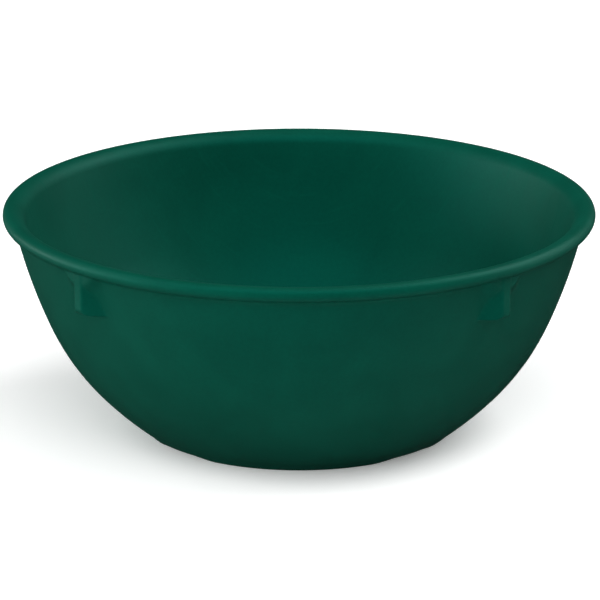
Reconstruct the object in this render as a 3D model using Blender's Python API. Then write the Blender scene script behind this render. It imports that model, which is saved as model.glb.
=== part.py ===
"""A small serving bowl, compression moulded in one shot from green melamine.

The bowl is one piece. It has a curved wall with a round bead along its rim, stacking lugs under the
bead, and a low foot ring with drain notches. It stands on the XY plane with its axis on Z.

The turned parts are drawn as a half section, in points (r, z): distance from the axis, and height.
A direction in the section is given as a slope: the angle in degrees that a wall facing that way
leans out from the vertical. So 0 faces straight out, 90 faces down and -90 faces up.
"""

import math

import bmesh
import bpy
from mathutils import Matrix, Vector

MM = 0.001

# The whole bowl.
RIM_DIAMETER = 140.0 * MM
HEIGHT = 53.9 * MM

# The wall. Its outside is a chain of arcs from the rim down to the foot, each tangent to the last.
WALL_THICKNESS = 2.7 * MM
WALL_TOP = Vector((67.26, 50.13)) * MM
WALL_TOP_SLOPE = 12.8
WALL_ARC_RADII = (131.0 * MM, 57.7 * MM, 86.0 * MM)
WALL_ARC_END_SLOPES = (23.4, 43.4, 52.7)

# The bead along the rim, round in section, and the fillet in the undercut below it.
BEAD_RADIUS = 1.67 * MM
UNDERCUT_FILLET = 0.45 * MM

# The floor inside, which a large fillet joins to the wall.
FLOOR_HEIGHT = 3.6 * MM

# The foot ring, and the recess that it surrounds.
FOOT_RADIUS = 37.2 * MM
FOOT_RING_WIDTH = 3.2 * MM
FOOT_EDGE_FILLET = 0.35 * MM
RECESS_DEPTH = 1.1 * MM
RECESS_DRAFT = 25.0
RECESS_FILLET = 0.8 * MM

# The stacking lugs. A lug is a narrow nose with flared sides, and its flat underside, the ledge,
# rests on the rim of the bowl below.
LUG_COUNT = 4
LUG_FIRST_ANGLE = 45.0
LUG_NOSE_RADIUS = 68.65 * MM
LUG_NOSE_WIDTH = 2.3 * MM
LUG_FLARE = 45.5
LUG_LEDGE_HEIGHT = 40.7 * MM
LUG_CORNER_RADIUS = 1.6 * MM
LUG_EDGE_RADIUS = 0.3 * MM

# The drain notches, one below each lug. They let water out of the recess of an upturned bowl.
NOTCH_DEPTH = 0.8 * MM
NOTCH_FLAT_WIDTH = 9.2 * MM
NOTCH_RAMP_LENGTH = 4.3 * MM
NOTCH_CUTTER_OVERHANG = FOOT_RING_WIDTH

# How finely round surfaces are divided. The steps along arcs are in degrees.
TURN_STEPS = 96
WALL_ARC_STEP = 4.0
FLOOR_ARC_STEP = 6.0
LIP_ARC_STEP = 15.0
BEAD_ARC_STEP = 22.0
FILLET_ARC_STEP = 40.0
LUG_CORNER_SEGMENTS = 4
MERGE_DISTANCE = 0.001 * MM
SHARP_ANGLE = 35.0

FACING_UP = -90.0
FACING_DOWN = 90.0
FULL_TURN = 360.0

# A face counts as facing a way when its normal points that way by more than this.
FACES_THAT_WAY = 0.5

# The finish: pigmented melamine, a hard plastic with a soft gloss. The colour is linear.
MELAMINE_GREEN = (0.0035, 0.0720, 0.0450, 1.0)
MELAMINE_ROUGHNESS = 0.34
MELAMINE_IOR = 1.55


def clear_scene():
    for obj in list(bpy.data.objects):
        bpy.data.objects.remove(obj, do_unlink=True)


def melamine():
    material = bpy.data.materials.new("melamine_green")
    material.use_nodes = True
    shader = material.node_tree.nodes["Principled BSDF"]
    shader.inputs["Base Color"].default_value = MELAMINE_GREEN
    shader.inputs["Roughness"].default_value = MELAMINE_ROUGHNESS
    shader.inputs["Metallic"].default_value = 0.0
    shader.inputs["IOR"].default_value = MELAMINE_IOR
    return material


# Geometry in the plane of the section.


def facing(slope):
    """The unit vector in the direction of this slope."""
    angle = math.radians(slope)
    return Vector((math.cos(angle), -math.sin(angle)))


def slope_towards(start, end):
    """The slope of the direction from one point to another."""
    way = end - start
    return math.degrees(math.atan2(-way.y, way.x))


def arc(centre, radius, start, end, step):
    """Points along an arc from one slope to another, both ends included."""
    steps = max(1, round(abs(end - start) / step))
    return [centre + radius * facing(start + (end - start) * i / steps) for i in range(steps + 1)]


def lower_crossing(centre_a, radius_a, centre_b, radius_b):
    """The lower of the two points where two circles cross."""
    apart = centre_b - centre_a
    along = (radius_a**2 - radius_b**2 + apart.length_squared) / (2 * apart.length)
    across = math.sqrt(radius_a**2 - along**2)
    direction = apart.normalized()
    middle = centre_a + along * direction
    side = across * Vector((-direction.y, direction.x))
    return min(middle + side, middle - side, key=lambda point: point.y)


def rounded_corner(before, corner, after, radius):
    """The arc that rounds a corner between two straight stretches of the section."""
    back = (before - corner).normalized()
    onward = (after - corner).normalized()
    half_angle = back.angle(onward) / 2
    centre = corner + (back + onward).normalized() * radius / math.sin(half_angle)
    setback = radius / math.tan(half_angle)
    start = slope_towards(centre, corner + back * setback)
    end = slope_towards(centre, corner + onward * setback)
    half_turn = FULL_TURN / 2
    turn = (end - start + half_turn) % FULL_TURN - half_turn
    return arc(centre, radius, start, start + turn, FILLET_ARC_STEP)


# The stretches of the section, in the order in which bowl_section() joins them.


def wall_centres():
    """The centres of the wall's arcs, top arc first. The inside of the wall shares them."""
    centres = [WALL_TOP - WALL_ARC_RADII[0] * facing(WALL_TOP_SLOPE)]
    for upper, lower, joint_slope in zip(WALL_ARC_RADII, WALL_ARC_RADII[1:], WALL_ARC_END_SLOPES):
        centres.append(centres[-1] + (upper - lower) * facing(joint_slope))
    return centres


def floor_section(centres):
    """The flat floor, and the fillet that carries it up to the lowest point where the wall is even."""
    joint_slope = WALL_ARC_END_SLOPES[1]
    joint = centres[1] + (WALL_ARC_RADII[1] - WALL_THICKNESS) * facing(joint_slope)
    radius = (joint.y - FLOOR_HEIGHT) / (1.0 - math.sin(math.radians(joint_slope)))
    centre = joint - radius * facing(joint_slope)
    return [Vector((0.0, FLOOR_HEIGHT))] + arc(centre, radius, FACING_DOWN, joint_slope, FLOOR_ARC_STEP)


def inside_section(centres, top_slope):
    """The inside of the wall, from the floor's fillet up to the lip."""
    slopes = (WALL_ARC_END_SLOPES[1], WALL_ARC_END_SLOPES[0], top_slope)
    points = []
    for i, start, end in zip((1, 0), slopes, slopes[1:]):
        points += arc(centres[i], WALL_ARC_RADII[i] - WALL_THICKNESS, start, end, WALL_ARC_STEP)[1:]
    return points


def bead_centre():
    return Vector((RIM_DIAMETER / 2 - BEAD_RADIUS, HEIGHT - BEAD_RADIUS))


def lip_section(wall_centre):
    """The lip: an arc tangent to the inside of the wall, and to the bead at the very top."""
    wall_radius = WALL_ARC_RADII[0] - WALL_THICKNESS
    top = Vector((bead_centre().x, HEIGHT))
    reach = top - wall_centre
    radius = (reach.length_squared - wall_radius**2) / (2 * (wall_radius + reach.y))
    centre = top - Vector((0.0, radius))
    return arc(centre, radius, slope_towards(centre, wall_centre), FACING_UP, LIP_ARC_STEP)


def bead_section(wall_centre):
    """The bead from its top round to its underside, and the fillet that joins it to the wall."""
    centre = bead_centre()
    wall_radius = WALL_ARC_RADII[0] + UNDERCUT_FILLET
    fillet_centre = lower_crossing(wall_centre, wall_radius, centre, BEAD_RADIUS + UNDERCUT_FILLET)
    bead_end = slope_towards(centre, fillet_centre)
    fillet_start = slope_towards(fillet_centre, centre) + FULL_TURN
    fillet_end = slope_towards(fillet_centre, wall_centre) + FULL_TURN
    bead = arc(centre, BEAD_RADIUS, FACING_UP, bead_end, BEAD_ARC_STEP)
    return bead + arc(fillet_centre, UNDERCUT_FILLET, fillet_start, fillet_end, FILLET_ARC_STEP)[1:]


def outside_section(centres, top_slope):
    """The outside of the wall, from the undercut down to the foot ring."""
    starts = (top_slope, *WALL_ARC_END_SLOPES)
    points = []
    for centre, radius, start, end in zip(centres, WALL_ARC_RADII, starts, WALL_ARC_END_SLOPES):
        points += arc(centre, radius, start, end, WALL_ARC_STEP)[1:]
    return points


def foot_section(wall_end):
    """The foot ring, the side of the recess, and the underside as far as the axis."""
    outer = Vector((FOOT_RADIUS, 0.0))
    inner = Vector((FOOT_RADIUS - FOOT_RING_WIDTH, 0.0))
    draft_run = RECESS_DEPTH * math.tan(math.radians(RECESS_DRAFT))
    recess_edge = Vector((inner.x - draft_run, RECESS_DEPTH))
    middle = Vector((0.0, RECESS_DEPTH))
    points = rounded_corner(wall_end, outer, inner, FOOT_EDGE_FILLET)
    points += rounded_corner(outer, inner, recess_edge, FOOT_EDGE_FILLET)
    points += rounded_corner(inner, recess_edge, middle, RECESS_FILLET)
    return points + [middle]


def bowl_section():
    """The half section, from the middle of the floor over the rim to the middle of the underside."""
    centres = wall_centres()
    lip = lip_section(centres[0])
    bead = bead_section(centres[0])
    inside = inside_section(centres, slope_towards(centres[0], lip[0]))
    outside = outside_section(centres, slope_towards(centres[0], bead[-1]))
    return floor_section(centres) + inside + lip[1:] + bead[1:] + outside + foot_section(outside[-1])


# Solids.


def turned(section):
    """The section turned once about the axis."""
    bm = bmesh.new()
    vertices = [bm.verts.new((point.x, 0.0, point.y)) for point in section]
    edges = [bm.edges.new(pair) for pair in zip(vertices, vertices[1:])]
    bmesh.ops.spin(
        bm,
        geom=vertices + edges,
        axis=(0, 0, 1),
        cent=(0, 0, 0),
        angle=math.tau,
        steps=TURN_STEPS,
        use_merge=True,
    )
    bmesh.ops.remove_doubles(bm, verts=bm.verts, dist=MERGE_DISTANCE)
    bmesh.ops.recalc_face_normals(bm, faces=bm.faces)
    return bm


def wall_middle(height):
    """How far from the axis the middle of the wall's thickness is, at a height on its top arc."""
    centre = wall_centres()[0]
    radius = WALL_ARC_RADII[0] - WALL_THICKNESS / 2
    return centre.x + math.sqrt(radius**2 - (centre.y - height) ** 2)


def lug_outline(bm, height):
    """A face with a lug's outline in plan: the nose, and sides that flare inwards to the wall's middle."""
    inner = wall_middle(height)
    nose_half = LUG_NOSE_WIDTH / 2
    inner_half = nose_half + (LUG_NOSE_RADIUS - inner) * math.tan(math.radians(LUG_FLARE))
    corners = (
        (inner, -inner_half, height),
        (LUG_NOSE_RADIUS, -nose_half, height),
        (LUG_NOSE_RADIUS, nose_half, height),
        (inner, inner_half, height),
    )
    return bm.faces.new([bm.verts.new(corner) for corner in corners])


def bevel_edges(bm, edges, radius, segments):
    bmesh.ops.bevel(
        bm, geom=edges, offset=radius, segments=segments, profile=0.5, affect="EDGES", material=-1
    )


def lug():
    """One stacking lug, on the +X side, with its inner end buried in the wall and its top in the bead."""
    bm = bmesh.new()
    ledge = lug_outline(bm, LUG_LEDGE_HEIGHT)
    top = lug_outline(bm, bead_centre().y)
    bmesh.ops.bridge_loops(bm, edges=ledge.edges[:] + top.edges[:])
    bmesh.ops.recalc_face_normals(bm, faces=bm.faces)
    nose = max(bm.faces, key=lambda face: face.normal.x)
    corner = [edge for edge in ledge.edges if nose in edge.link_faces]
    bevel_edges(bm, corner, LUG_CORNER_RADIUS, LUG_CORNER_SEGMENTS)
    bm.normal_update()
    flanks = {face for face in bm.faces if abs(face.normal.y) > FACES_THAT_WAY}
    front = {face for face in bm.faces if face.normal.x - face.normal.z > FACES_THAT_WAY}
    front_edges = {edge for face in front - flanks for edge in face.edges}
    sides = [edge for face in flanks for edge in face.edges if edge in front_edges]
    bevel_edges(bm, sides, LUG_EDGE_RADIUS, 1)
    return bm


def notch_cutter():
    """The bar that cuts one drain notch across the foot ring, on the +X side: a flat top and two ramps.

    The ramps run on as far again below the foot, and the bar overhangs the foot ring at both ends.
    """
    half_flat = NOTCH_FLAT_WIDTH / 2
    half_base = half_flat + NOTCH_RAMP_LENGTH + NOTCH_RAMP_LENGTH
    outline = (
        (-half_base, -NOTCH_DEPTH),
        (-half_flat, NOTCH_DEPTH),
        (half_flat, NOTCH_DEPTH),
        (half_base, -NOTCH_DEPTH),
    )
    inner_end = FOOT_RADIUS - FOOT_RING_WIDTH - NOTCH_CUTTER_OVERHANG
    length = FOOT_RING_WIDTH + 2 * NOTCH_CUTTER_OVERHANG
    bm = bmesh.new()
    end_face = bm.faces.new([bm.verts.new((inner_end, y, z)) for y, z in outline])
    extruded = bmesh.ops.extrude_face_region(bm, geom=[end_face])["geom"]
    moved = [item for item in extruded if isinstance(item, bmesh.types.BMVert)]
    bmesh.ops.translate(bm, verts=moved, vec=(length, 0.0, 0.0))
    bmesh.ops.recalc_face_normals(bm, faces=bm.faces)
    return bm


def repeat_at_lugs(bm):
    """Turns a solid from the +X side to the first lug's place, and copies it to the other lugs' places."""
    to_first = Matrix.Rotation(math.radians(LUG_FIRST_ANGLE), 3, "Z")
    bmesh.ops.rotate(bm, verts=bm.verts, matrix=to_first, cent=(0, 0, 0))
    bmesh.ops.spin(
        bm,
        geom=bm.verts[:] + bm.edges[:] + bm.faces[:],
        axis=(0, 0, 1),
        cent=(0, 0, 0),
        angle=math.tau * (LUG_COUNT - 1) / LUG_COUNT,
        steps=LUG_COUNT - 1,
        use_duplicate=True,
    )
    return bm


# Objects.


def to_object(name, bm):
    mesh = bpy.data.meshes.new(name)
    bm.to_mesh(mesh)
    bm.free()
    obj = bpy.data.objects.new(name, mesh)
    bpy.context.scene.collection.objects.link(obj)
    return obj


def helper_object(name, bm):
    """An object that only shapes the bowl through a Boolean."""
    obj = to_object(name, bm)
    obj.hide_render = True
    obj.display_type = "WIRE"
    return obj


def add_boolean(obj, name, operation, helper):
    modifier = obj.modifiers.new(name, "BOOLEAN")
    modifier.operation = operation
    modifier.solver = "EXACT"
    modifier.object = helper


def make_bowl():
    bowl = to_object("bowl", turned(bowl_section()))
    bowl.data.materials.append(melamine())
    bowl.data.shade_smooth()
    bowl.data.set_sharp_from_angle(angle=math.radians(SHARP_ANGLE))
    add_boolean(bowl, "stacking lugs", "UNION", helper_object("lugs", repeat_at_lugs(lug())))
    cutters = helper_object("notch_cutters", repeat_at_lugs(notch_cutter()))
    add_boolean(bowl, "drain notches", "DIFFERENCE", cutters)


clear_scene()
make_bowl()
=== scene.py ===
"""A small moulded melamine serving bowl in a plain studio.

The bowl is one moulding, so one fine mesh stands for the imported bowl: a turned body, pressed into
shape at its stacking lugs and drain notches as the mould would.
"""

import math

import bmesh
import bpy
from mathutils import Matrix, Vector


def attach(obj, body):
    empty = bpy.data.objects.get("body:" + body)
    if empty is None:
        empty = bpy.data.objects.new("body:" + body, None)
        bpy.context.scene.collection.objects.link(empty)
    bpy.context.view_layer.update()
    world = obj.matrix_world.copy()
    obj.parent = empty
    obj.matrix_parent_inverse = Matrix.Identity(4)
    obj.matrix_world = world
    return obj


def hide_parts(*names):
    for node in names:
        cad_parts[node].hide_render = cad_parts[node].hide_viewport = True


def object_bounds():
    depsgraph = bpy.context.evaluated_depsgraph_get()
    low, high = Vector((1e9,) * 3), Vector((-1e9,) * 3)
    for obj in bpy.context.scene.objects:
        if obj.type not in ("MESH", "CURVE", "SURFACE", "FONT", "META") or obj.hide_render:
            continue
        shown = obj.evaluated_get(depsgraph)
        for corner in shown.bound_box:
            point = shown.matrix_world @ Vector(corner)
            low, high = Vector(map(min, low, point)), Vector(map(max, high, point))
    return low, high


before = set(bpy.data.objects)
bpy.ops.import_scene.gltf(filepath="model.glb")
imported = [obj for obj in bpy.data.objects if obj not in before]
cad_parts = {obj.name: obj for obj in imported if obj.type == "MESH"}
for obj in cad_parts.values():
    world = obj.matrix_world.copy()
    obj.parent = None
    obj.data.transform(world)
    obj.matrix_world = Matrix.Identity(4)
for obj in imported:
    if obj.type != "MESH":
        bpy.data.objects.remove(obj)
cad_low, cad_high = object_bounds()

MM = 0.001
RIM_RADIUS = (cad_high.x - cad_low.x) / 2
HEIGHT = cad_high.z

# The wall. Its outside is a chain of arcs, each tangent to the last, and its inside shares their
# centres. A slope is the angle in degrees by which a surface leans out from the vertical.
WALL_THICKNESS = 2.7 * MM
WALL_TOP = Vector((67.26, 50.13)) * MM
WALL_TOP_SLOPE = 12.8
WALL_ARC_RADII = (131.0 * MM, 57.7 * MM, 86.0 * MM)
WALL_ARC_END_SLOPES = (23.4, 43.4, 52.7)
FLOOR_HEIGHT = 3.6 * MM

# The rim.
BEAD_RADIUS = 1.67 * MM
UNDERCUT_FILLET = 2.0 * MM

# The foot.
FOOT_RADIUS = 37.2 * MM
FOOT_RING_WIDTH = 3.2 * MM
FOOT_EDGE_FILLET = 0.35 * MM
FOOT_FACE_ROWS = 6
RECESS_DEPTH = 1.1 * MM
RECESS_DRAFT = 25.0
RECESS_FILLET = 0.8 * MM

# The stacking lugs.
LUG_COUNT = 4
LUG_FIRST_ANGLE = 45.0
LUG_NOSE_RADIUS = 68.65 * MM
LUG_NOSE_HALF_WIDTH = 1.15 * MM
LUG_FLARE = 45.5
LUG_LEDGE_HEIGHT = 40.7 * MM
LUG_CORNER_RADIUS = 1.6 * MM
LUG_EDGE_RADIUS = 0.3 * MM
LUG_EDGE_BLEND = 0.35 * MM
LUG_FILLET = 0.4 * MM
LEDGE_BAND = 0.1 * MM

# The shoulder that carries a lug's top into the bead: a concave arc up the wall, beside the nose.
SHOULDER_START = 42.5 * MM
SHOULDER_RADIUS = 8.8 * MM
SHOULDER_FACE_RADIUS = LUG_NOSE_RADIUS - 0.1 * MM
SHOULDER_BLEND = 0.6 * MM
SHOULDER_FULL_HALF_WIDTH = 1.5 * MM
SHOULDER_FADE_WIDTH = 5.0 * MM

# The drain notches.
NOTCH_DEPTH = 0.8 * MM
NOTCH_HALF_FLAT = 4.6 * MM
NOTCH_RAMP_LENGTH = 4.3 * MM
NOTCH_BLEND = 0.15 * MM
NOTCH_INNER_RADIUS = FOOT_RADIUS - 2 * FOOT_RING_WIDTH
NOTCH_OUTER_RADIUS = FOOT_RADIUS + FOOT_RING_WIDTH

# How each of the bowl's quarters is divided round the axis: (degrees, steps) beside the lug, across
# it, beside it again, and as far as the next lug's side.
BESIDE_SECTOR = (9.0, 12)
LUG_SECTOR = (13.0, 52)
OPEN_SECTOR = (59.0, 49)
QUARTER_SECTORS = (BESIDE_SECTOR, LUG_SECTOR, BESIDE_SECTOR, OPEN_SECTOR)
PRESSED_HALF_ANGLE = BESIDE_SECTOR[0] + LUG_SECTOR[0] / 2
WALL_ARC_STEP = 2.0
FLOOR_ARC_STEP = 3.0
LIP_ARC_STEP = 7.0
ROWS_ABOVE_CORNER = 20
CORNER_ROWS = 11
BAND_ROWS = 5
LEDGE_FILLET_ROWS = 4
ROWS_BELOW_LUG = 8
FLAT_ROWS = 4
FOOT_FLAT_ROWS = 3
RECESS_SIDE_ROWS = 2
BEAD_ARC_STEP = 10.0
FILLET_ARC_STEP = 15.0
MERGE_DISTANCE = 0.002 * MM

FACING_UP = -90.0
FACING_DOWN = 90.0
FULL_TURN = 360.0


# The section of the bowl, in points (r, z): distance from the axis, and height.


def facing(slope):
    angle = math.radians(slope)
    return Vector((math.cos(angle), -math.sin(angle)))


def slope_towards(start, end):
    way = end - start
    return math.degrees(math.atan2(-way.y, way.x))


def arc(centre, radius, start, end, step):
    steps = max(1, round(abs(end - start) / step))
    return [centre + radius * facing(start + (end - start) * i / steps) for i in range(steps + 1)]


def lower_crossing(centre_a, radius_a, centre_b, radius_b):
    """The lower of the two points where two circles cross."""
    apart = centre_b - centre_a
    along = (radius_a**2 - radius_b**2 + apart.length_squared) / (2 * apart.length)
    across = math.sqrt(radius_a**2 - along**2)
    direction = apart.normalized()
    middle = centre_a + along * direction
    side = across * Vector((-direction.y, direction.x))
    return min(middle + side, middle - side, key=lambda point: point.y)


def rounded_corner(before, corner, after, radius):
    """The arc that rounds a corner between two straight stretches."""
    back = (before - corner).normalized()
    onward = (after - corner).normalized()
    half_angle = back.angle(onward) / 2
    centre = corner + (back + onward).normalized() * radius / math.sin(half_angle)
    setback = radius / math.tan(half_angle)
    start = slope_towards(centre, corner + back * setback)
    end = slope_towards(centre, corner + onward * setback)
    half_turn = FULL_TURN / 2
    turn = (end - start + half_turn) % FULL_TURN - half_turn
    return arc(centre, radius, start, start + turn, FILLET_ARC_STEP)


def between(start, end, count):
    """count points or numbers evenly spaced between start and end, without either of them."""
    return [start + (end - start) * i / (count + 1) for i in range(1, count + 1)]


def wall_centres():
    centres = [WALL_TOP - WALL_ARC_RADII[0] * facing(WALL_TOP_SLOPE)]
    for upper, lower, joint_slope in zip(WALL_ARC_RADII, WALL_ARC_RADII[1:], WALL_ARC_END_SLOPES):
        centres.append(centres[-1] + (upper - lower) * facing(joint_slope))
    return centres


CENTRES = wall_centres()
BEAD_CENTRE = Vector((RIM_RADIUS - BEAD_RADIUS, HEIGHT - BEAD_RADIUS))


def upper_wall_radius(height):
    """The outside of the wall's top arc."""
    return CENTRES[0].x + math.sqrt(WALL_ARC_RADII[0] ** 2 - (CENTRES[0].y - height) ** 2)


def floor_section():
    joint_slope = WALL_ARC_END_SLOPES[1]
    joint = CENTRES[1] + (WALL_ARC_RADII[1] - WALL_THICKNESS) * facing(joint_slope)
    radius = (joint.y - FLOOR_HEIGHT) / (1.0 - math.sin(math.radians(joint_slope)))
    centre = joint - radius * facing(joint_slope)
    fillet = arc(centre, radius, FACING_DOWN, joint_slope, FLOOR_ARC_STEP)
    middle = Vector((0.0, FLOOR_HEIGHT))
    return [middle] + between(middle, fillet[0], FLAT_ROWS) + fillet


def inside_section(top_slope):
    slopes = (WALL_ARC_END_SLOPES[1], WALL_ARC_END_SLOPES[0], top_slope)
    points = []
    for i, start, end in zip((1, 0), slopes, slopes[1:]):
        points += arc(CENTRES[i], WALL_ARC_RADII[i] - WALL_THICKNESS, start, end, WALL_ARC_STEP)[1:]
    return points


def lip_section():
    """The lip: an arc tangent to the inside of the wall, and to the bead at the very top."""
    wall_radius = WALL_ARC_RADII[0] - WALL_THICKNESS
    top = Vector((BEAD_CENTRE.x, HEIGHT))
    reach = top - CENTRES[0]
    radius = (reach.length_squared - wall_radius**2) / (2 * (wall_radius + reach.y))
    centre = top - Vector((0.0, radius))
    return arc(centre, radius, slope_towards(centre, CENTRES[0]), FACING_UP, LIP_ARC_STEP)


def bead_section():
    """The bead from its top round to its underside, and the fillet that joins it to the wall."""
    wall_radius = WALL_ARC_RADII[0] + UNDERCUT_FILLET
    fillet_centre = lower_crossing(CENTRES[0], wall_radius, BEAD_CENTRE, BEAD_RADIUS + UNDERCUT_FILLET)
    bead_end = slope_towards(BEAD_CENTRE, fillet_centre)
    fillet_start = slope_towards(fillet_centre, BEAD_CENTRE) + FULL_TURN
    fillet_end = slope_towards(fillet_centre, CENTRES[0]) + FULL_TURN
    bead = arc(BEAD_CENTRE, BEAD_RADIUS, FACING_UP, bead_end, BEAD_ARC_STEP)
    return bead + arc(fillet_centre, UNDERCUT_FILLET, fillet_start, fillet_end, FILLET_ARC_STEP)[1:]


def upper_wall_rows(top, bottom):
    """Heights down the wall's top arc. They are close together where the lugs' ledge and corner will be."""
    corner_top = LUG_LEDGE_HEIGHT + LUG_CORNER_RADIUS
    corner_step = math.pi / 2 / CORNER_ROWS
    corner = [corner_top - LUG_CORNER_RADIUS * math.sin(corner_step * i) for i in range(CORNER_ROWS + 1)]
    band_bottom = LUG_LEDGE_HEIGHT - LEDGE_BAND
    fillet_bottom = band_bottom - LUG_FILLET
    band = between(LUG_LEDGE_HEIGHT, band_bottom, BAND_ROWS) + [band_bottom]
    fillet_step = math.pi / 2 / LEDGE_FILLET_ROWS
    fillet_turns = [fillet_step * i for i in range(1, LEDGE_FILLET_ROWS + 1)]
    fillet = [band_bottom - LUG_FILLET * (1 - math.cos(turn)) for turn in fillet_turns]
    above = between(top, corner_top, ROWS_ABOVE_CORNER)
    below = between(fillet_bottom, bottom, ROWS_BELOW_LUG) + [bottom]
    return above + corner + band + fillet + below


def outside_section(start):
    joint = CENTRES[0] + WALL_ARC_RADII[0] * facing(WALL_ARC_END_SLOPES[0])
    points = [Vector((upper_wall_radius(height), height)) for height in upper_wall_rows(start.y, joint.y)]
    slopes = WALL_ARC_END_SLOPES
    for i in (1, 2):
        points += arc(CENTRES[i], WALL_ARC_RADII[i], slopes[i - 1], slopes[i], WALL_ARC_STEP)[1:]
    return points


def foot_section(wall_end):
    outer = Vector((FOOT_RADIUS, 0.0))
    inner = Vector((FOOT_RADIUS - FOOT_RING_WIDTH, 0.0))
    draft_run = RECESS_DEPTH * math.tan(math.radians(RECESS_DRAFT))
    recess_edge = Vector((inner.x - draft_run, RECESS_DEPTH))
    middle = Vector((0.0, RECESS_DEPTH))
    outer_edge = rounded_corner(wall_end, outer, inner, FOOT_EDGE_FILLET)
    inner_edge = rounded_corner(outer, inner, recess_edge, FOOT_EDGE_FILLET)
    recess = rounded_corner(inner, recess_edge, middle, RECESS_FILLET)
    points = between(wall_end, outer_edge[0], FOOT_FACE_ROWS) + outer_edge
    points += between(outer_edge[-1], inner_edge[0], FOOT_FLAT_ROWS) + inner_edge
    points += between(inner_edge[-1], recess[0], RECESS_SIDE_ROWS) + recess
    return points + between(recess[-1], middle, FLAT_ROWS) + [middle]


def bowl_section():
    lip = lip_section()
    bead = bead_section()
    outside = outside_section(bead[-1])
    inside = inside_section(slope_towards(CENTRES[0], lip[0]))
    return floor_section() + inside + lip[1:] + bead[1:] + outside + foot_section(outside[-1])


# The solid.


def turned_quarter():
    """The section turned through a quarter of the bowl, with a lug's place in its middle sector."""
    bm = bmesh.new()
    start = math.radians(LUG_FIRST_ANGLE - PRESSED_HALF_ANGLE)
    around = Vector((math.cos(start), math.sin(start)))
    vertices = [bm.verts.new((around.x * point.x, around.y * point.x, point.y)) for point in bowl_section()]
    profile = vertices + [bm.edges.new(pair) for pair in zip(vertices, vertices[1:])]
    for angle, steps in QUARTER_SECTORS:
        turned = bmesh.ops.spin(
            bm, geom=profile, axis=(0, 0, 1), cent=(0, 0, 0), angle=math.radians(angle), steps=steps
        )
        profile = turned["geom_last"]
    return bm


def smooth_max(a, b, blend):
    """The larger of two lengths, eased into each other where they are nearer than blend."""
    near = max(blend - abs(a - b), 0.0) / blend
    return max(a, b) + near**2 * blend / 4


def smooth_min(a, b, blend):
    return -smooth_max(-a, -b, blend)


def smooth_step(share):
    share = min(max(share, 0.0), 1.0)
    return share * share * (3 - 2 * share)


def from_lug(position):
    """The angle between a place and the middle of the nearest lug."""
    pitch = math.tau / LUG_COUNT
    angle = math.atan2(position.y, position.x) - math.radians(LUG_FIRST_ANGLE)
    return abs((angle + pitch / 2) % pitch - pitch / 2)


def edge_setback(lift, radius):
    """How far a rounded lower edge stands back at this height above it."""
    return radius - math.sqrt(max(radius**2 - max(radius - lift, 0.0) ** 2, 0.0))


def lug_reach(angle, lift):
    """How far out a lug reaches, at this angle from its middle and this height above its ledge."""
    nose = (LUG_NOSE_RADIUS - edge_setback(lift, LUG_CORNER_RADIUS)) / math.cos(angle)
    spread = math.tan(math.radians(LUG_FLARE))
    flank = (LUG_NOSE_HALF_WIDTH + LUG_NOSE_RADIUS * spread) / (math.sin(angle) + spread * math.cos(angle))
    return smooth_min(nose, flank, LUG_EDGE_BLEND) - edge_setback(lift, LUG_EDGE_RADIUS)


def bead_underside(radius):
    off_centre = min(abs(radius - BEAD_CENTRE.x), BEAD_RADIUS)
    return BEAD_CENTRE.y - math.sqrt(BEAD_RADIUS**2 - off_centre**2)


def shouldered(angle, radius, height):
    """How far out the plain outside comes at this height once it has its shoulder beside the lug."""
    across = radius * math.sin(angle)
    fade = 1.0 - smooth_step((across - SHOULDER_FULL_HALF_WIDTH) / SHOULDER_FADE_WIDTH)
    rise = max(height - SHOULDER_START, 0.0) ** 2 / (2 * SHOULDER_RADIUS)
    return max(radius, smooth_min(radius + rise * fade, SHOULDER_FACE_RADIUS, SHOULDER_BLEND))


def lug_pressed(angle, radius, height):
    """Where a place (radius, height) on the plain outside goes when the lug is pressed out of it."""
    lift = height - LUG_LEDGE_HEIGHT
    if lift >= 0.0:
        on_bead = (Vector((radius, height)) - BEAD_CENTRE).length < BEAD_RADIUS + MERGE_DISTANCE
        reach = smooth_max(shouldered(angle, radius, height), lug_reach(angle, lift), LUG_FILLET)
        if on_bead and reach > radius:
            return reach, bead_underside(reach)
        return reach, height
    ledge_end = smooth_max(radius, lug_reach(angle, 0.0), LUG_FILLET)
    present = smooth_step((ledge_end - radius) / (2 * LUG_FILLET))
    fillet = LUG_FILLET * present
    if lift >= -LEDGE_BAND:
        share = 1.0 + lift / LEDGE_BAND
        return radius + fillet + share * (ledge_end - radius - fillet), height - present * lift
    depth = min(-lift - LEDGE_BAND, LUG_FILLET)
    return radius + present * edge_setback(depth, LUG_FILLET), height + present * LEDGE_BAND


def press_lug(bm):
    lowest = LUG_LEDGE_HEIGHT - LEDGE_BAND - LUG_FILLET
    for vertex in bm.verts:
        radius = vertex.co.xy.length
        height = vertex.co.z
        angle = from_lug(vertex.co)
        if angle > math.radians(PRESSED_HALF_ANGLE) or not lowest < height < BEAD_CENTRE.y:
            continue
        if radius < upper_wall_radius(height) - MERGE_DISTANCE:
            continue
        new_radius, new_height = lug_pressed(angle, radius, height)
        vertex.co.xy = vertex.co.xy * new_radius / radius
        vertex.co.z = new_height


def notch_ceiling(across):
    """How high a drain notch reaches at this distance across it from its middle."""
    ramp = (NOTCH_HALF_FLAT + NOTCH_RAMP_LENGTH - across) * NOTCH_DEPTH / NOTCH_RAMP_LENGTH
    return smooth_max(smooth_min(ramp, NOTCH_DEPTH, NOTCH_BLEND), 0.0, NOTCH_BLEND)


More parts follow.
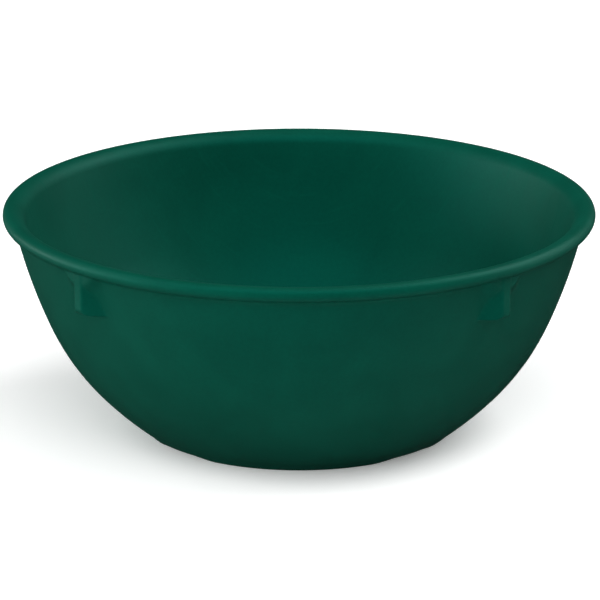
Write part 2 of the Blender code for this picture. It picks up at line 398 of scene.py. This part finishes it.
def press_notch(bm):
    for vertex in bm.verts:
        radius = vertex.co.xy.length
        if not NOTCH_INNER_RADIUS < radius < NOTCH_OUTER_RADIUS or vertex.co.z > RECESS_DEPTH:
            continue
        across = radius * math.sin(from_lug(vertex.co))
        ceiling = notch_ceiling(across)
        if ceiling > 0.0:
            vertex.co.z = smooth_max(vertex.co.z, ceiling, NOTCH_BLEND)


def make_bowl():
    bm = turned_quarter()
    press_lug(bm)
    press_notch(bm)
    bmesh.ops.spin(
        bm,
        geom=bm.verts[:] + bm.edges[:] + bm.faces[:],
        axis=(0, 0, 1),
        cent=(0, 0, 0),
        angle=math.tau * (LUG_COUNT - 1) / LUG_COUNT,
        steps=LUG_COUNT - 1,
        use_duplicate=True,
    )
    bmesh.ops.remove_doubles(bm, verts=bm.verts, dist=MERGE_DISTANCE)
    bmesh.ops.recalc_face_normals(bm, faces=bm.faces)
    mesh = bpy.data.meshes.new("moulded_bowl")
    bm.to_mesh(mesh)
    bm.free()
    mesh.shade_smooth()
    bowl = bpy.data.objects.new("moulded_bowl", mesh)
    bpy.context.scene.collection.objects.link(bowl)
    bowl.data.materials.append(moulded_melamine())
    return bowl


# Materials.

# Colours are sRGB hex values.
PIGMENT = "023f31"
TABLE_WHITE = "f8f8f8"
SHEEN_TINT = "20ffea"

# How squarely a surface has to face the middle of the rim's plane to count as the inside.
INSIDE_FROM = 2 * MM
INSIDE_FULLY_FROM = 14 * MM

# Where the moulding powder flowed, and the strength of that clouding.
CLOUD_SIZE = 16.0 * MM
CLOUD_TONES = (0.92, 1.08)
POLISH_ROUGHNESS = (0.44, 0.56)

# The powder's grain and the orange peel are finer than a render shows, so they are drawn this coarse.
GRAIN_SIZE = 0.8 * MM
GRAIN_TONES = (0.95, 1.05)
PEEL_SIZE = 0.7 * MM
PEEL_DEPTH = 0.004 * MM

# Scuffs from spoons. A real one is too thin to show, so these are drawn wider.
SCUFF_LENGTH = 14.0 * MM
SCUFF_WIDTH = 0.35 * MM
SCUFF_DIRECTION = 35.0
SCUFF_THRESHOLDS = (0.6, 0.72)
SCUFF_TONE = 0.12
SCUFF_ROUGHNESS = 0.12

BUFFED_HALF_WIDTH = 0.15 * MM
BUFFED_ROUGHNESS = 0.2
WEAR_HEIGHT = 0.4 * MM
WEAR_TONE = 0.5
WEAR_ROUGHNESS = 0.4

TABLE_TOOTH_SIZE = 1.5 * MM
TABLE_TONES = (0.97, 1.0)
TABLE_GLOW = 0.25

NOISE_LOW = 0.3
NOISE_HIGH = 0.7


def linear(colour):
    """An sRGB hex colour as linear red, green, blue and alpha."""
    channels = [int(colour[i : i + 2], 16) / 255 for i in (0, 2, 4)]
    return [c / 12.92 if c <= 0.04045 else ((c + 0.055) / 1.055) ** 2.4 for c in channels] + [1.0]


def add_node(tree, kind, settings=None, inputs=None):
    """A node with its settings, and its inputs set to a value or linked to another node's output."""
    node = tree.nodes.new(kind)
    for name, value in (settings or {}).items():
        setattr(node, name, value)
    for name, value in (inputs or {}).items():
        if isinstance(value, bpy.types.NodeSocket):
            tree.links.new(value, node.inputs[name])
        else:
            node.inputs[name].default_value = value
    return node


def new_material(name):
    material = bpy.data.materials.new(name)
    material.use_nodes = True
    material.node_tree.nodes.clear()
    return material, material.node_tree


def moulded_melamine():
    """Dark green melamine: pigmented powder, pressed hot in a polished mould and then trimmed.

    The colour goes right through and is even, but faintly cloudy where the powder flowed. The eye sees
    a deep green with a soft gloss, broken by a fine orange peel. Spoons have scuffed the inside, the
    flash was buffed off along the bead's widest line, and tables have dulled the foot.
    """
    material, tree = new_material("moulded_melamine_dark_green")
    place = add_node(tree, "ShaderNodeTexCoord").outputs["Object"]
    height = add_node(tree, "ShaderNodeSeparateXYZ", inputs={"Vector": place}).outputs["Z"]

    # The inside faces the middle of the rim's plane, and the outside faces away from it.
    normal = add_node(tree, "ShaderNodeNewGeometry").outputs["Normal"]
    rim_middle = (0.0, 0.0, HEIGHT)
    way_there = add_node(tree, "ShaderNodeVectorMath", {"operation": "SUBTRACT"}, {0: rim_middle, 1: place})
    facing_it = add_node(
        tree, "ShaderNodeVectorMath", {"operation": "DOT_PRODUCT"}, {0: way_there.outputs[0], 1: normal}
    )
    inside = add_node(
        tree,
        "ShaderNodeMapRange",
        inputs={"Value": facing_it.outputs["Value"], "From Min": INSIDE_FROM, "From Max": INSIDE_FULLY_FROM},
    ).outputs["Result"]

    cloud = add_node(
        tree,
        "ShaderNodeTexNoise",
        inputs={"Vector": place, "Scale": 1 / CLOUD_SIZE, "Detail": 3.0, "Distortion": 0.8},
    ).outputs["Fac"]
    grain = add_node(
        tree, "ShaderNodeTexNoise", inputs={"Vector": place, "Scale": 1 / GRAIN_SIZE, "Detail": 1.0}
    ).outputs["Fac"]
    peel = add_node(
        tree, "ShaderNodeTexNoise", inputs={"Vector": place, "Scale": 1 / PEEL_SIZE, "Detail": 1.0}
    ).outputs["Fac"]

    # Scuffs: long thin streaks of a stretched noise, of which only the peaks show, and only inside.
    along_scuffs = add_node(
        tree,
        "ShaderNodeMapping",
        inputs={
            "Vector": place,
            "Rotation": (0.0, 0.0, math.radians(SCUFF_DIRECTION)),
            "Scale": (1 / SCUFF_LENGTH, 1 / SCUFF_WIDTH, 1 / SCUFF_LENGTH),
        },
    ).outputs["Vector"]
    streaks = add_node(
        tree, "ShaderNodeTexNoise", inputs={"Vector": along_scuffs, "Scale": 1.0, "Detail": 2.0}
    ).outputs["Fac"]
    peaks = add_node(
        tree,
        "ShaderNodeMapRange",
        inputs={"Value": streaks, "From Min": SCUFF_THRESHOLDS[0], "From Max": SCUFF_THRESHOLDS[1]},
    ).outputs["Result"]
    scuffs = add_node(tree, "ShaderNodeMath", {"operation": "MULTIPLY"}, {0: peaks, 1: inside})

    # The buffed line stands at the height of the bead's centre, on its outer side only.
    off_line = add_node(tree, "ShaderNodeMath", {"operation": "SUBTRACT"}, {0: height, 1: BEAD_CENTRE.y})
    from_line = add_node(tree, "ShaderNodeMath", {"operation": "ABSOLUTE"}, {0: off_line.outputs[0]})
    on_line = add_node(
        tree,
        "ShaderNodeMapRange",
        inputs={
            "Value": from_line.outputs[0],
            "From Min": BUFFED_HALF_WIDTH,
            "From Max": 2 * BUFFED_HALF_WIDTH,
            "To Min": 1.0,
            "To Max": 0.0,
        },
    ).outputs["Result"]
    outside = add_node(tree, "ShaderNodeMath", {"operation": "SUBTRACT"}, {0: 1.0, 1: inside})
    buffed = add_node(tree, "ShaderNodeMath", {"operation": "MULTIPLY"}, {0: on_line, 1: outside.outputs[0]})

    # Wear on the foot fades out a little above the table, unevenly.
    wear = add_node(
        tree,
        "ShaderNodeMapRange",
        inputs={"Value": height, "From Min": 0.0, "From Max": WEAR_HEIGHT, "To Min": 1.0, "To Max": 0.0},
    ).outputs["Result"]
    worn = add_node(tree, "ShaderNodeMath", {"operation": "MULTIPLY"}, {0: wear, 1: grain})

    # Tone: how much lighter or darker than the pigment each of these makes the surface.
    cloudy = add_node(
        tree,
        "ShaderNodeMapRange",
        inputs={
            "Value": cloud,
            "From Min": NOISE_LOW,
            "From Max": NOISE_HIGH,
            "To Min": CLOUD_TONES[0],
            "To Max": CLOUD_TONES[1],
        },
    ).outputs["Result"]
    grainy = add_node(
        tree,
        "ShaderNodeMapRange",
        inputs={
            "Value": grain,
            "From Min": NOISE_LOW,
            "From Max": NOISE_HIGH,
            "To Min": GRAIN_TONES[0],
            "To Max": GRAIN_TONES[1],
        },
    ).outputs["Result"]
    tone = add_node(tree, "ShaderNodeMath", {"operation": "MULTIPLY"}, {0: cloudy, 1: grainy})
    for place_of_it, amount in ((scuffs, SCUFF_TONE), (worn, WEAR_TONE)):
        added = {0: place_of_it.outputs[0], 1: amount, 2: tone.outputs[0]}
        tone = add_node(tree, "ShaderNodeMath", {"operation": "MULTIPLY_ADD"}, added)
    colour = add_node(
        tree,
        "ShaderNodeHueSaturation",
        inputs={"Color": linear(PIGMENT), "Value": tone.outputs[0]},
    ).outputs["Color"]

    # Roughness: the polish varies with the flow, and scuffs, buffing and wear are duller.
    polish = {"Value": cloud, "To Min": POLISH_ROUGHNESS[0], "To Max": POLISH_ROUGHNESS[1]}
    rough = add_node(tree, "ShaderNodeMapRange", inputs=polish)
    dulling = ((scuffs, SCUFF_ROUGHNESS), (buffed, BUFFED_ROUGHNESS), (worn, WEAR_ROUGHNESS))
    for place_of_it, amount in dulling:
        added = {0: place_of_it.outputs[0], 1: amount, 2: rough.outputs[0]}
        rough = add_node(tree, "ShaderNodeMath", {"operation": "MULTIPLY_ADD"}, added)

    bump = add_node(tree, "ShaderNodeBump", inputs={"Height": peel, "Distance": PEEL_DEPTH})
    shader = add_node(
        tree,
        "ShaderNodeBsdfPrincipled",
        inputs={
            "Base Color": colour,
            "Roughness": rough.outputs[0],
            "Normal": bump.outputs["Normal"],
            "IOR": 1.55,
            "Specular IOR Level": 0.14,
            "Specular Tint": linear(SHEEN_TINT),
        },
    )
    add_node(tree, "ShaderNodeOutputMaterial", inputs={"Surface": shader.outputs["BSDF"]})
    return material


def light_table():
    """White acrylic, lit faintly from beneath: the bowl's table.

    It is a matt white sheet with a faint tooth, and its glow softens the bowl's shadow. The eye sees
    plain white, shaded near the foot.
    """
    material, tree = new_material("white_acrylic_light_table")
    place = add_node(tree, "ShaderNodeTexCoord").outputs["Object"]
    tooth = add_node(tree, "ShaderNodeTexNoise", inputs={"Vector": place, "Scale": 1 / TABLE_TOOTH_SIZE})
    toothy = {"Value": tooth.outputs["Fac"], "To Min": TABLE_TONES[0], "To Max": TABLE_TONES[1]}
    tone = add_node(tree, "ShaderNodeMapRange", inputs=toothy).outputs["Result"]
    colour = add_node(
        tree, "ShaderNodeHueSaturation", inputs={"Color": linear(TABLE_WHITE), "Value": tone}
    ).outputs["Color"]
    shader = add_node(
        tree,
        "ShaderNodeBsdfPrincipled",
        inputs={
            "Base Color": colour,
            "Roughness": 0.9,
            "Emission Color": colour,
            "Emission Strength": TABLE_GLOW,
        },
    )
    add_node(tree, "ShaderNodeOutputMaterial", inputs={"Surface": shader.outputs["BSDF"]})
    return material


# The studio.

FLOOR_HALF_SIZE = 3.0
SOFTBOX_DISTANCE = 1.3
AIR_STRENGTH = 0.025

# Each softbox: its name, azimuth, elevation, width and height in metres, and power in watts.
SOFTBOXES = (
    ("high_front", 0, 56, 1.2, 1.2, 14.5),
    ("high_right", 108, 44, 1.0, 1.0, 16),
    ("high_left", -85, 40, 0.8, 0.8, 6),
    ("low_front_left", -70, 8, 1.0, 0.3, 6.5),
    ("low_left", -100, 8, 1.0, 0.3, 7),
    ("low_right", 110, 10, 0.6, 0.3, 1.5),
)
CAMERA_DISTANCE = 0.980
CAMERA_ELEVATION = 16.0
CAMERA_TILT = 17.25
CAMERA_TURN = 1.93
CAMERA_SIDESTEP = 0.21 * MM
CAMERA_LENS = 248.5
CAMERA_SENSOR = 36.0


def make_floor():
    bm = bmesh.new()
    bmesh.ops.create_grid(bm, x_segments=1, y_segments=1, size=FLOOR_HALF_SIZE)
    mesh = bpy.data.meshes.new("studio_floor")
    bm.to_mesh(mesh)
    bm.free()
    floor = bpy.data.objects.new("studio_floor", mesh)
    bpy.context.scene.collection.objects.link(floor)
    floor.data.materials.append(light_table())
    # The table isn't mirrored in the bowl, where it would grey the lower wall.
    floor.visible_glossy = False


def add_softbox(name, azimuth, elevation, width, height, power):
    """A soft light that faces the bowl. Azimuth 0 is in front, and 90 is on the +X side."""
    light = bpy.data.lights.new(name, "AREA")
    light.shape = "RECTANGLE"
    light.size = width
    light.size_y = height
    light.energy = power
    lamp = bpy.data.objects.new(name, light)
    bpy.context.scene.collection.objects.link(lamp)
    turn = math.radians(azimuth)
    rise = math.radians(elevation)
    away = Vector((math.sin(turn) * math.cos(rise), -math.cos(turn) * math.cos(rise), math.sin(rise)))
    target = Vector((0.0, 0.0, HEIGHT / 2))
    lamp.location = target + away * SOFTBOX_DISTANCE
    lamp.rotation_euler = away.to_track_quat("Z", "Y").to_euler()


def light_studio():
    world = bpy.data.worlds.new("studio_air")
    world.use_nodes = True
    background = world.node_tree.nodes["Background"]
    background.inputs["Color"].default_value = (1.0, 1.0, 1.0, 1.0)
    background.inputs["Strength"].default_value = AIR_STRENGTH
    bpy.context.scene.world = world
    for softbox in SOFTBOXES:
        add_softbox(*softbox)


def make_camera():
    data = bpy.data.cameras.new("camera")
    data.sensor_width = CAMERA_SENSOR
    data.lens = CAMERA_LENS
    camera = bpy.data.objects.new("camera", data)
    bpy.context.scene.collection.objects.link(camera)
    turn = math.radians(CAMERA_TURN)
    rise = math.radians(CAMERA_ELEVATION)
    aim = Vector((0.0, 0.0, BEAD_CENTRE.y))
    back = Vector((math.sin(turn) * math.cos(rise), -math.cos(turn) * math.cos(rise), math.sin(rise)))
    right = Vector((math.cos(turn), math.sin(turn), 0.0))
    camera.location = aim + back * CAMERA_DISTANCE + right * CAMERA_SIDESTEP
    camera.rotation_euler = (math.radians(90.0 - CAMERA_TILT), 0.0, turn)
    bpy.context.scene.camera = camera


bowl = make_bowl()
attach(bowl, "root")
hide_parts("bowl")
make_floor()
light_studio()
make_camera()
bpy.context.scene.view_settings.view_transform = "Standard"
